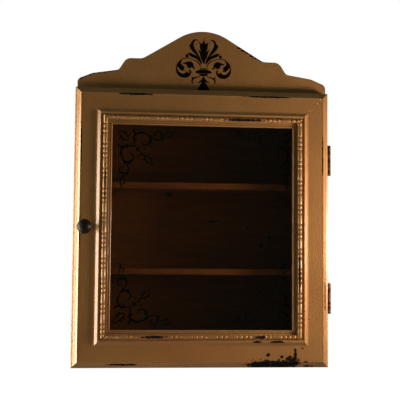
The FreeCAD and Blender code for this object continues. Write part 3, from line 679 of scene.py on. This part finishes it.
moulding = {
    "footRise": 1.6, "footIn": 2.3, "footDown": 1.1,
    "arrisRise": 6.4, "arrisWidth": 0.7, "arrisDown": 1.8, "arrisRound": 0.4,
    "ridge": (20.4, 21.8), "ridgeDown": 1.6,     # between the string's seat and the cove, from the outer edge
}
rimRubbed = 0.75
onLine = 0.1     # a corner this near to a line lies on it


def pickCorners(piece, nearest, furthest, lowest, highest):
    # corners of a mitred stick, by distance in from its outer edge and height over the door's flat
    low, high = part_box("moulding_left")[0] / mm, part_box("moulding_right")[1] / mm
    centre, half = (low + high) / 2, (high - low) / 2
    for vertex in piece.data.vertices:
        offset = vertex.co / mm - centre
        inward = min(half.x - abs(offset.x), half.z - abs(offset.z))
        rise = low.y + moulding["arrisRise"] - vertex.co.y / mm
        vertex.select = nearest < inward < furthest and lowest < rise < highest
    bpy.ops.object.mode_set(mode="EDIT")
    return centre, half


def leaveCorners():
    bpy.ops.mesh.select_all(action="DESELECT")
    bpy.ops.object.mode_set(mode="OBJECT")


def planeMoulding(piece):
    foot, arris = moulding["footRise"], moulding["arrisRise"]
    centre, half = pickCorners(piece, -onLine, onLine, foot - onLine, foot + onLine)
    shrink = (1 - moulding["footIn"] / half.x, 1, 1 - moulding["footIn"] / half.z)
    bpy.ops.transform.resize(value=shrink, center_override=centre * mm)
    bpy.ops.transform.translate(value=(0, moulding["footDown"] * mm, 0))
    leaveCorners()
    pickCorners(piece, *moulding["ridge"], foot, arris)
    bpy.ops.transform.translate(value=(0, moulding["ridgeDown"] * mm, 0))
    leaveCorners()
    pickCorners(piece, 0, half.x, arris - onLine, arris + onLine)
    bpy.ops.mesh.remove_doubles(threshold=moulding["arrisWidth"] * mm)
    bpy.ops.transform.translate(value=(0, moulding["arrisDown"] * mm, 0))
    bpy.ops.mesh.bevel(offset=moulding["arrisRound"] * mm, segments=3, affect="EDGES")
    leaveCorners()


def rubRim(piece):
    crown = min(vertex.co.y for vertex in piece.data.vertices)
    for vertex in piece.data.vertices:
        vertex.select = vertex.co.y < crown + onLine * mm
    bpy.ops.object.mode_set(mode="EDIT")
    bpy.ops.transform.translate(value=(0, rimRubbed * mm, 0))
    leaveCorners()


def dressedCopy(node, material, roundMm):
    source = frame["nodes"][node]
    piece = source.copy()
    piece.data = source.data.copy()
    piece.name = node + "_finish"
    piece.parent = None
    del piece["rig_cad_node"]
    bpy.context.scene.collection.objects.link(piece)
    makeActive(piece)
    mergeAll(0.01, outward=False, flatDegrees=1)
    if node.startswith("moulding"):
        planeMoulding(piece)
    if node.startswith("door_"):
        rubRim(piece)
    if roundMm:
        bevel = piece.modifiers.new("arris", "BEVEL")
        bevel.width = roundMm * mm
        bevel.segments = arrisShape["segments"]
        bevel.limit_method = "ANGLE"
        bevel.angle_limit = math.radians(arrisShape["overDegrees"])
        bpy.ops.object.modifier_apply(modifier=bevel.name)
    smoothRounds(piece, 35)
    finishPiece(piece, bodyOf(node), material, [node])


for material, (roundMm, nodes) in dressed.items():
    for node in nodes:
        dressedCopy(node, material, roundMm)
    print("dressed in", material + ":", len(nodes))


# crest board: its right half's corners from foot to bell, across from the axis, up from the case top, radius

crest = {
    "axisX": 0.9,
    "corners": [(208.8, 0, 0), (208.8, 16.4, 9.3), (184, 26.8, 23.5),
                (141.1, 33.6, 9), (128.4, 53.8, 14.5), (101.6, 53.8, 19.5)],
    "peak": (0, 115.6, 77),
    "arris": 1.2,
    "arcSteps": 14,
}


def roundedOutline(corners, steps):
    outline = []
    for i, (across, up, radius) in enumerate(corners):
        here = Vector((across, up))
        back = Vector(corners[i - 1][:2]) - here
        onward = Vector(corners[(i + 1) % len(corners)][:2]) - here
        half = back.angle(onward) / 2
        reach = min(radius / math.tan(half), back.length * 0.5, onward.length * 0.5)
        middle = here + (back.normalized() + onward.normalized()).normalized() * reach / math.cos(half)
        start, end = here + back.normalized() * reach - middle, here + onward.normalized() * reach - middle
        turn = start.angle_signed(end) if reach else 0.0
        for step in range(steps + 1 if reach else 1):
            outline.append(middle + Matrix.Rotation(-turn * step / steps, 2) @ start)
    return outline


def makeCrest():
    low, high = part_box("crest_board")
    right = crest["corners"]
    corners = right + [crest["peak"]] + [(-across, up, radius) for across, up, radius in reversed(right)]
    board, curve = newCurve("crest_board_finish", "2D")
    curve.fill_mode = "BOTH"
    curve.bevel_depth = crest["arris"] * mm
    curve.bevel_resolution = 2
    curve.offset = -crest["arris"] * mm
    curve.extrude = (high.y - low.y) / 2 - crest["arris"] * mm
    spline = curve.splines.new("POLY")
    spline.use_cyclic_u = True
    outline = roundedOutline(corners, crest["arcSteps"])
    spline.points.add(len(outline) - 1)
    for knot, point in zip(spline.points, outline):
        knot.co = (point.x * mm, point.y * mm, 0, 1)
    board.location = (crest["axisX"] * mm, (low.y + high.y) / 2, low.z)
    board.rotation_euler = (math.pi / 2, 0, 0)
    makeActive(board)
    bpy.ops.object.convert(target="MESH")
    bpy.ops.object.transform_apply(location=True, rotation=True, scale=True)
    piece = bpy.context.object
    mergeAll(0.005, flatDegrees=0.5)
    smoothRounds(piece, 40)
    finishPiece(piece, "case", "goldCrest", ["crest_board"])


makeCrest()
print("crest cut")


# turned pieces: a tube along a line, as wide at each station as the turner left it

def turnedPiece(name, start, along, stations, sides):
    piece, curve = newCurve(name, "3D")
    curve.bevel_depth = mm
    curve.bevel_resolution = sides // 2 - 2
    curve.use_fill_caps = True
    spline = curve.splines.new("POLY")
    spline.points.add(len(stations) - 1)
    for point, (distance, radius) in zip(spline.points, stations):
        point.co = (*(Vector(start) + Vector(along) * distance) * mm, 1.0)
        point.radius = radius
    makeActive(piece)
    bpy.ops.object.convert(target="MESH")
    mergeAll(0.005)
    return bpy.context.object


# bead and reel strings, split down the middle and mitred at the corners

beadString = {
    "radius": 3.7,
    "lift": 0.9,     # of the string's line over its seat
    "notch": 1.9,
    "bead": 7.6,
    "reel": 17.4,
    "reelEnd": 2.4,
    "order": ("reel", "bead", "bead", "reel", "bead", "bead", "bead"),
    "begins": {"top": 0.0, "left": 2.5, "bottom": 46.0, "right": 20.0},
    "sides": 16,
    "steps": 6,
}


def stringStations(length, first):
    full, low = beadString["radius"], beadString["notch"]
    steps = beadString["steps"]
    turns = [math.pi / 2 * i / steps for i in range(steps + 1)]
    rounds = [(1 - math.cos(a), low + (full - low) * math.sin(a)) for a in turns]
    at, count, stations = -first, 0, []
    while at < length:
        kind = beadString["order"][count % len(beadString["order"])]
        span = beadString[kind]
        end = beadString["reelEnd"] if kind == "reel" else span / 2
        stations += [(at + end * reach, radius) for reach, radius in rounds[:-1]]
        stations += [(at + span - end * reach, radius) for reach, radius in reversed(rounds[1:])]
        at += span
        count += 1
    return stations


def cutAway(piece, point, normal):
    makeActive(piece)
    bpy.ops.object.mode_set(mode="EDIT")
    bpy.ops.mesh.select_all(action="SELECT")
    bpy.ops.mesh.bisect(plane_co=Vector(point) * mm, plane_no=normal, use_fill=True, clear_outer=True)
    bpy.ops.object.mode_set(mode="OBJECT")


def markNotchShade(piece, start, along):
    # painted shade: 0 on a string's full round and 1 at its notch floors, for darkening the notches
    full, low = beadString["radius"], beadString["notch"]
    layer = piece.data.attributes.new("notchShade", "FLOAT", "POINT")
    for i, vertex in enumerate(piece.data.vertices):
        offset = vertex.co / mm - Vector(start)
        radial = (offset - Vector(along) * offset.dot(Vector(along))).length
        layer.data[i].value = min(1.0, max(0.0, (full - radial) / (full - low)))


def beadStrings():
    left, seat = (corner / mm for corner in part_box("beading_left"))
    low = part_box("beading_bottom")[0] / mm
    right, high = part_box("beading_right")[1] / mm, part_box("beading_top")[1] / mm
    # lines of the four strings: the outer edges of the half rounds, less their radius
    r = beadString["radius"]
    x0, x1, z0, z1 = left.x + r, right.x - r, low.z + r, high.z - r
    y = seat.y - beadString["lift"]
    runs = {
        "top": ((x0 - r, y, z1), (1, 0, 0), (0, 0, -1), x1 - x0 + 2 * r),
        "bottom": ((x0 - r, y, z0), (1, 0, 0), (0, 0, 1), x1 - x0 + 2 * r),
        "left": ((x0, y, z1 + r), (0, 0, -1), (1, 0, 0), z1 - z0 + 2 * r),
        "right": ((x1, y, z1 + r), (0, 0, -1), (-1, 0, 0), z1 - z0 + 2 * r),
    }
    for side, (start, along, inward, length) in runs.items():
        stations = stringStations(length, beadString["begins"][side])
        piece = turnedPiece("beading_" + side + "_finish", start, along, stations, beadString["sides"])
        markNotchShade(piece, start, along)
        cutAway(piece, (0, seat.y, 0), (0, 1, 0))
        for end in (0, 1):
            tip = Vector(start) + Vector(along) * (length * end)
            outward = Vector(along) * (2 * end - 1)
            corner = (x0 - r if tip.x < 0 else x1 + r, y, z0 - r if tip.z < (z0 + z1) / 2 else z1 + r)
            cutAway(piece, corner, (outward + Vector(inward)).normalized())
        makeActive(piece)
        bpy.ops.object.shade_smooth_by_angle(angle=math.radians(50))
        finishPiece(piece, "door", "goldBeads", ["beading_" + side])


beadStrings()
print("strings turned and mitred")


# knob: a dark bronze ball on a waisted neck

knob = {
    "foot": [(0.0, 6.2), (0.4, 6.6), (1.3, 6.6), (1.8, 6.0), (2.1, 4.9)],     # height, radius
    "neck": 4.4, "neckHeight": 4.2, "radius": 12.0, "height": 25.0, "sides": 64, "steps": 26,
}


def makeKnob():
    low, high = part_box("knob")
    middle = (low + high) / 2 / mm
    half = (knob["height"] - knob["neckHeight"]) / 2
    centre = knob["neckHeight"] + half
    first = math.asin(knob["neck"] / knob["radius"])
    stations = list(knob["foot"])
    for i in range(knob["steps"] + 1):
        angle = first + (math.pi - first) * i / knob["steps"]
        stations.append((centre - half * math.cos(angle), max(0.02, knob["radius"] * math.sin(angle))))
    piece = turnedPiece("knob_finish", (middle.x, high.y / mm, middle.z), (0, -1, 0), stations, knob["sides"])
    makeActive(piece)
    bpy.ops.object.shade_smooth_by_angle(angle=math.radians(40))
    finishPiece(piece, "door", "darkBronze", ["knob"])


makeKnob()
print("knob turned")


# stencils: strokes and leaves of thin paint, laid on a flat face

film = {"thicknessMm": 0.12, "roundness": 2, "smoothness": 6}


def strokeShape(points):
    # a brush stroke through (across, up, half width)
    shape, curve = newCurve("stroke", "3D")
    curve.resolution_u = film["smoothness"]
    curve.bevel_depth = mm
    curve.bevel_resolution = film["roundness"]
    curve.use_fill_caps = True
    spline = curve.splines.new("BEZIER")
    spline.bezier_points.add(len(points) - 1)
    for knot, (across, up, half) in zip(spline.bezier_points, points):
        knot.co = (across * mm, 0, up * mm)
        knot.radius = half
        knot.handle_left_type = knot.handle_right_type = "AUTO"
    makeActive(shape)
    bpy.ops.object.convert(target="MESH")
    shape = bpy.context.object
    widest = max(half for across, up, half in points)
    flatten = film["thicknessMm"] / 2 / widest
    bpy.ops.object.mode_set(mode="EDIT")
    bpy.ops.mesh.select_all(action="SELECT")
    bpy.ops.transform.resize(value=(1, flatten, 1), center_override=(0, 0, 0))
    bpy.ops.object.mode_set(mode="OBJECT")
    return shape


def leafShape(points):
    # a filled outline through (across, up) points; a third value "tip" makes a sharp corner
    shape, curve = newCurve("leaf", "2D")
    curve.fill_mode = "BOTH"
    curve.resolution_u = film["smoothness"]
    curve.extrude = film["thicknessMm"] / 2 * mm
    spline = curve.splines.new("BEZIER")
    spline.use_cyclic_u = True
    spline.bezier_points.add(len(points) - 1)
    for knot, point in zip(spline.bezier_points, points):
        knot.co = (point[0] * mm, point[1] * mm, 0)
        bend = "VECTOR" if len(point) == 3 else "AUTO"
        knot.handle_left_type = knot.handle_right_type = bend
    shape.rotation_euler = (math.pi / 2, 0, 0)
    makeActive(shape)
    bpy.ops.object.convert(target="MESH")
    bpy.ops.object.transform_apply(location=False, rotation=True, scale=False)
    return bpy.context.object


def layStencil(name, shapes, body, place):
    deselectAll()
    for shape in shapes:
        shape.select_set(True)
    bpy.context.view_layer.objects.active = shapes[0]
    bpy.ops.object.join()
    piece = bpy.context.object
    piece.name = name
    piece.location = Vector(place) * mm
    makeActive(piece)
    bpy.ops.object.transform_apply(location=True, rotation=True, scale=True)
    mergeAll(0.002)
    wear(piece, "stencil")
    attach(piece, body)


# palmette on the crest: right half, across from its axis and up from the case top

palmette = {
    "axisX": 1.5,
    "bud": [(0, 46.4, "tip"), (2.4, 52), (5.8, 60.5), (6.9, 65.4), (10, 71.6, "tip"), (6.6, 69.8),
            (3.4, 67.6, "tip"), (5.6, 71.4), (6.4, 75.6), (6.7, 80), (8.9, 84.2, "tip"), (5.4, 82.4),
            (3.1, 80.8, "tip"), (1.2, 85.0), (0, 91.5, "tip")],
    "leaves": {
        "tallLeaf": [(2.6, 47, "tip"), (9.5, 58.9), (13.4, 62.9), (18, 67.2), (21.8, 72.3), (23.8, 76),
                     (24.8, 79.7, "tip"), (22.4, 79.6, "tip"), (21.3, 82.5), (19.3, 86.2), (16.1, 88.6),
                     (12.4, 88.6), (9.9, 85.8, "tip"), (13, 87.2), (15.6, 85.4), (17.4, 81.7),
                     (17.1, 77.8), (14.8, 72.3), (11.7, 67.6), (8.6, 62.1), (5.4, 56.6)],
        "sideLeaf": [(4.2, 45.2, "tip"), (5.7, 48.3), (8.8, 52.5), (12.7, 55.6), (17.3, 57.6), (22, 59.7),
                     (25.1, 62.4), (27.4, 64.9, "tip"), (22.7, 65.4), (16.5, 63.1), (10.2, 59.4),
                     (6.2, 54.6), (3.6, 48.7)],
        "scrollLeaf": [(35.9, 49.1, "tip"), (32.3, 48.5), (28.4, 50.1), (24.5, 51.1), (20.6, 50.4),
                       (17.9, 47.9), (16.7, 44), (15.6, 40.8), (13.7, 38.1, "tip"), (16.8, 38.7),
                       (18.7, 40.5), (20.3, 42.8, "tip"), (21.5, 40), (23.8, 39, "tip"), (27, 40.8),
                       (28.1, 44), (30.8, 45.9), (34, 46.8)],
        "sideLobe": [(35.5, 55.2, "tip"), (40.2, 52.2), (43.5, 48.1), (45.8, 42.6), (46.5, 38, "tip"),
                     (44.1, 41.2), (41.1, 38.5), (37.3, 35.4), (31.9, 35, "tip"), (33.8, 39.1, "tip"),
                     (31.5, 41.3, "tip"), (36.6, 44.9), (38.3, 47.9), (36.9, 51.5)],
        "crescent": [(45.2, 41, "tip"), (42.4, 34.6), (38.7, 31.1), (34.6, 29.9), (30.6, 31.6),
                     (28, 34.2, "tip"), (26.3, 31.8), (24.5, 31.3), (23.6, 33.4), (24.7, 35.8),
                     (23.5, 37.7, "tip"), (21.6, 35.4), (21, 32.2), (22.4, 28.3), (25.6, 24.8),
                     (30.4, 23.2), (35.1, 23), (39.8, 24.8), (43.6, 28.3), (45.8, 33), (46.5, 37.7)],
    },
    "strokes": {
        "scroll": [(5, 42.4, 0.7), (8.8, 48.7, 1.0), (12.7, 51.9, 0.9), (17.4, 54, 0.6),
                   (22.9, 55.4, 0.55), (28.3, 56.3, 0.6), (32.3, 55.9, 0.8), (36.6, 54.4, 0.9)],
        "finialNeck": [(28.3, 58.4, 1.1), (28.3, 56.4, 0.6)],
        "tendril": [(3.5, 27.8, 0.4), (9.1, 25.2, 0.8), (13.9, 23.6, 1.1), (17.6, 21.6, 1.5),
                    (19.3, 18.6, 1.3), (18.9, 15.7, 0.9), (17.1, 13, 0.2)],
        "tendrilBarb": [(16.5, 22.6, 1.4), (18.8, 24, 1.2), (20.3, 26.3, 0.3)],
        "lowLeaf": [(0.8, 23.4, 0.8), (3.2, 19.4, 1.5), (6.4, 16.7, 1.4), (10.9, 15.4, 0.2)],
    },
    "finial": (28.2, 60.2, 2.6),
    "bars": [[(-6.6, 38.2, "tip"), (-7.4, 40.5, "tip"), (-5.5, 40.1), (5.5, 40.1), (7.4, 40.5, "tip"),
              (6.6, 38.2, "tip")],
             [(-13, 31.8), (-14.3, 33, "tip"), (-11.4, 35.7), (11.4, 35.7), (14.3, 33, "tip"), (13, 31.8)],
             [(-7.9, 30.5, "tip"), (-6.8, 28.4), (6.8, 28.4), (7.9, 30.5, "tip")]],
    "foot": [(0, 28.4, "tip"), (1.4, 24), (2.6, 18.5), (3.6, 15.5), (6.6, 10.6), (9.6, 4.4),
             (10.8, 0.4, "tip")],
}


def bothWays(points):
    return [points, [(-p[0],) + tuple(p[1:]) for p in points]]


def closedHalf(points):
    # an outline given for its right half, from foot to top, closed on its axis
    mirrored = [(-p[0],) + tuple(p[1:]) for p in reversed(points) if p[0]]
    return points + mirrored


def ringOf(across, up, radius):
    steps = [i * math.pi / 4 for i in range(8)]
    return [(across + radius * math.cos(a), up + radius * math.sin(a)) for a in steps]


def makePalmette():
    shapes = [leafShape(closedHalf(palmette["bud"])), leafShape(closedHalf(palmette["foot"]))]
    shapes += [leafShape(bar) for bar in palmette["bars"]]
    for outline in palmette["leaves"].values():
        shapes += [leafShape(points) for points in bothWays(outline)]
    for stroke in palmette["strokes"].values():
        shapes += [strokeShape(points) for points in bothWays(stroke)]
    across, up, radius = palmette["finial"]
    shapes += [leafShape(ringOf(sign * across, up, radius)) for sign in (-1, 1)]
    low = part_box("crest_board")[0]
    front = low.y / mm - film["thicknessMm"] / 2
    layStencil("crest_palmette", shapes, "case", (palmette["axisX"], front, low.z / mm))


makePalmette()
print("palmette laid")


# corner scrolls on the glass: one arm, repeated across the diagonal, and a spray on the diagonal

cornerScroll = {
    "armTurn": 3.75,
    "weight": 1.5,     # of every stroke, over the half widths below
    "dotWeight": 1.25,
    "arm": {
        "stem": [(28.5, 25, 0.5), (27, 18.5, 0.8), (26.5, 13.5, 0.9), (27.5, 7.5, 1.1), (31.5, 3.5, 1.0),
                 (37.5, 1.5, 1.3), (42.5, 2.5, 1.0), (44.7, 6, 0.2)],
        "stemHook": [(27.4, 8, 0.8), (27, 2.5, 1.2), (25, -1, 1.1), (22, -1, 0.3)],
        "thornIn": [(26.6, 13, 0.9), (22.2, 9.4, 0.4)],
        "thornOut": [(26.8, 13.8, 0.9), (32.4, 12.8, 0.4)],
        "spiral": [(44.5, 2.6, 0.3), (49.5, 4.5, 0.9), (52.8, 8.5, 1.2), (54, 14.5, 1.1), (49.5, 20, 0.8),
                   (44, 21.5, 0.7), (39.5, 18.5, 0.6), (38.5, 14.5, 0.4)],
        "spiralLeaf": [(53.4, 12.5, 1.0), (56.8, 18, 0.2)],
        "spiralThorn": [(53.4, 14, 0.8), (48, 16, 0.2)],
        "reach": [(53.4, 5, 0.5), (57.5, 9.5, 0.6), (63.5, 12, 0.7), (69.5, 11, 0.7), (73.5, 9, 0.6)],
        "curl": [(70.6, 10.5, 0.7), (71.4, 6.5, 0.9), (71, 2.5, 1.0), (68.5, -1.5, 0.7),
                 (64.5, -2.5, 0.6), (60.5, -0.5, 0.6), (60, 3.5, 0.6), (63, 5, 0.5)],
        "curlLeaf": [(70.8, 3.4, 0.9), (74, 0.5, 0.2)],
        "reachLeaf": [(72.4, 9.2, 0.8), (76.2, 11, 0.2)],
        "tail": [(73.3, 8.6, 0.4), (76.5, 2.5, 0.5), (80.5, -1.5, 0.6), (86.5, -2.5, 0.6),
                 (92.5, -1.5, 0.8), (95.5, -4.5, 0.4)],
        "tailCurl": [(86.8, -2.4, 0.5), (88.4, 1, 0.6), (87.6, 4, 0.7), (84.5, 5, 0.6), (82, 3.5, 0.5),
                     (83, 1, 0.4)],
    },
    "armDots": [(54.5, -1, 0.9)],
    "spray": {
        "leafEdge": [(0, 0, 0.5), (4.5, 0.5, 0.5), (10, 4.5, 0.7), (15, 9.5, 0.8), (16.6, 16.6, 0.6)],
        "leafThornLow": [(10.6, 5.2, 0.9), (14.4, 1.6, 0.4)],
        "leafThornHigh": [(15.2, 9.8, 0.9), (19.6, 6.2, 0.4)],
        "budEdge": [(41, 41, 0.7), (47, 43.5, 0.6), (52.5, 48, 0.5), (56.5, 56.5, 0.4)],
        "budThornLow": [(46.4, 43.4, 0.8), (49.6, 39.4, 0.4)],
        "budThornHigh": [(51.6, 47.2, 0.8), (55.4, 44.2, 0.4)],
    },
    "diagonal": {
        "budStem": [(34, 34, 0.4), (41, 41, 0.7)],
        "budCurl": [(32.5, 40.5, 0.5), (34.5, 42.4, 0.4), (37.4, 40.6, 0.4), (37.4, 36.4, 0.4)],
    },
    "dots": [(20.5, 20.5, 1.0), (42.5, 30.5, 1.1), (30.5, 42.5, 1.1), (31.5, 31.5, 0.9)],
    "rosette": (31.5, 31.5, 2.5, 0.95, 7),
    "corners": {
        "upper_left": {"tip": (-139.6, -10.3), "right": 1, "up": -1, "lean": -1.0},
        "lower_left": {"tip": (-143.1, -322.4), "right": 1, "up": 1, "lean": -3.75},
        "upper_right": {"tip": (147.8, -8.6), "right": -1, "up": -1, "lean": -2.5},
        "lower_right": {"tip": (145.8, -319.8), "right": -1, "up": 1, "lean": -3.7},
    },
}


def turnPoint(point, degrees):
    turned = Matrix.Rotation(math.radians(degrees), 2) @ Vector(point[:2])
    return tuple(turned) + tuple(point[2:])


def overDiagonal(point):
    return (point[1], point[0]) + tuple(point[2:])


def weighted(point):
    return point[0], point[1], point[2] * cornerScroll["weight"]


def scrollStrokes():
    strokes = []
    for points in cornerScroll["arm"].values():
        arm = [turnPoint(p, cornerScroll["armTurn"]) for p in points]
        strokes += [arm, [overDiagonal(p) for p in arm]]
    for points in cornerScroll["spray"].values():
        strokes += [points, [overDiagonal(p) for p in points]]
    return strokes + list(cornerScroll["diagonal"].values())


def scrollDots():
    dots = []
    for dot in cornerScroll["armDots"]:
        arm = turnPoint(dot, cornerScroll["armTurn"])
        dots += [arm, overDiagonal(arm)]
    across, up, ring, radius, count = cornerScroll["rosette"]
    for i in range(count):
        angle = 2 * math.pi * i / count
        dots.append((across + ring * math.cos(angle), up + ring * math.sin(angle), radius))
    return dots + cornerScroll["dots"]


def intoCorner(point, corner):
    across, up, size = turnPoint(point, corner["lean"])
    return across * corner["right"], up * corner["up"], size


def makeCornerScrolls():
    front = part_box("glass_pane")[0].y / mm - film["thicknessMm"] / 2
    for name, corner in cornerScroll["corners"].items():
        strokes = [[weighted(intoCorner(p, corner)) for p in points] for points in scrollStrokes()]
        shapes = [strokeShape(points) for points in strokes]
        for dot in scrollDots():
            across, up, radius = intoCorner(dot, corner)
            shapes.append(leafShape(ringOf(across, up, radius * cornerScroll["dotWeight"])))
        tip = corner["tip"]
        layStencil("glass_scroll_" + name, shapes, "door", (tip[0], front, tip[1]))


makeCornerScrolls()
print("corner scrolls laid")


# the nodes that keep their own meshes

plain = {     # material: nodes
    "pineBack": ["back_panel"],
    "pineUpright": ["glazing_strip_left", "glazing_strip_right"],
    "pineLevel": ["glazing_strip_top", "glazing_strip_bottom"],
    "goldDoor": ["corner_splines"],
    "glass": ["glass_pane"],
    "dullSteel": ["case_nails", "crest_screws", "catch_screws", "glazing_pins", "knob_screw"],
    "bronzedSteel": ["hinge_case_screws", "hinge_door_screws"],
    "zincPlate": ["left_keyhole_plate", "right_keyhole_plate", "keyhole_plate_screws", "catch_pole_plates",
                  "strike_plate", "strike_screw"],
    "brownPlastic": ["catch_housing"],
    "ferrite": ["catch_magnet"],
}
for material, nodes in plain.items():
    for node in nodes:
        wear(frame["nodes"][node], material)
frame["nodes"]["glass_pane"].visible_shadow = False     # light falls through the pane
print("plain nodes finished:", sum(len(nodes) for nodes in plain.values()))
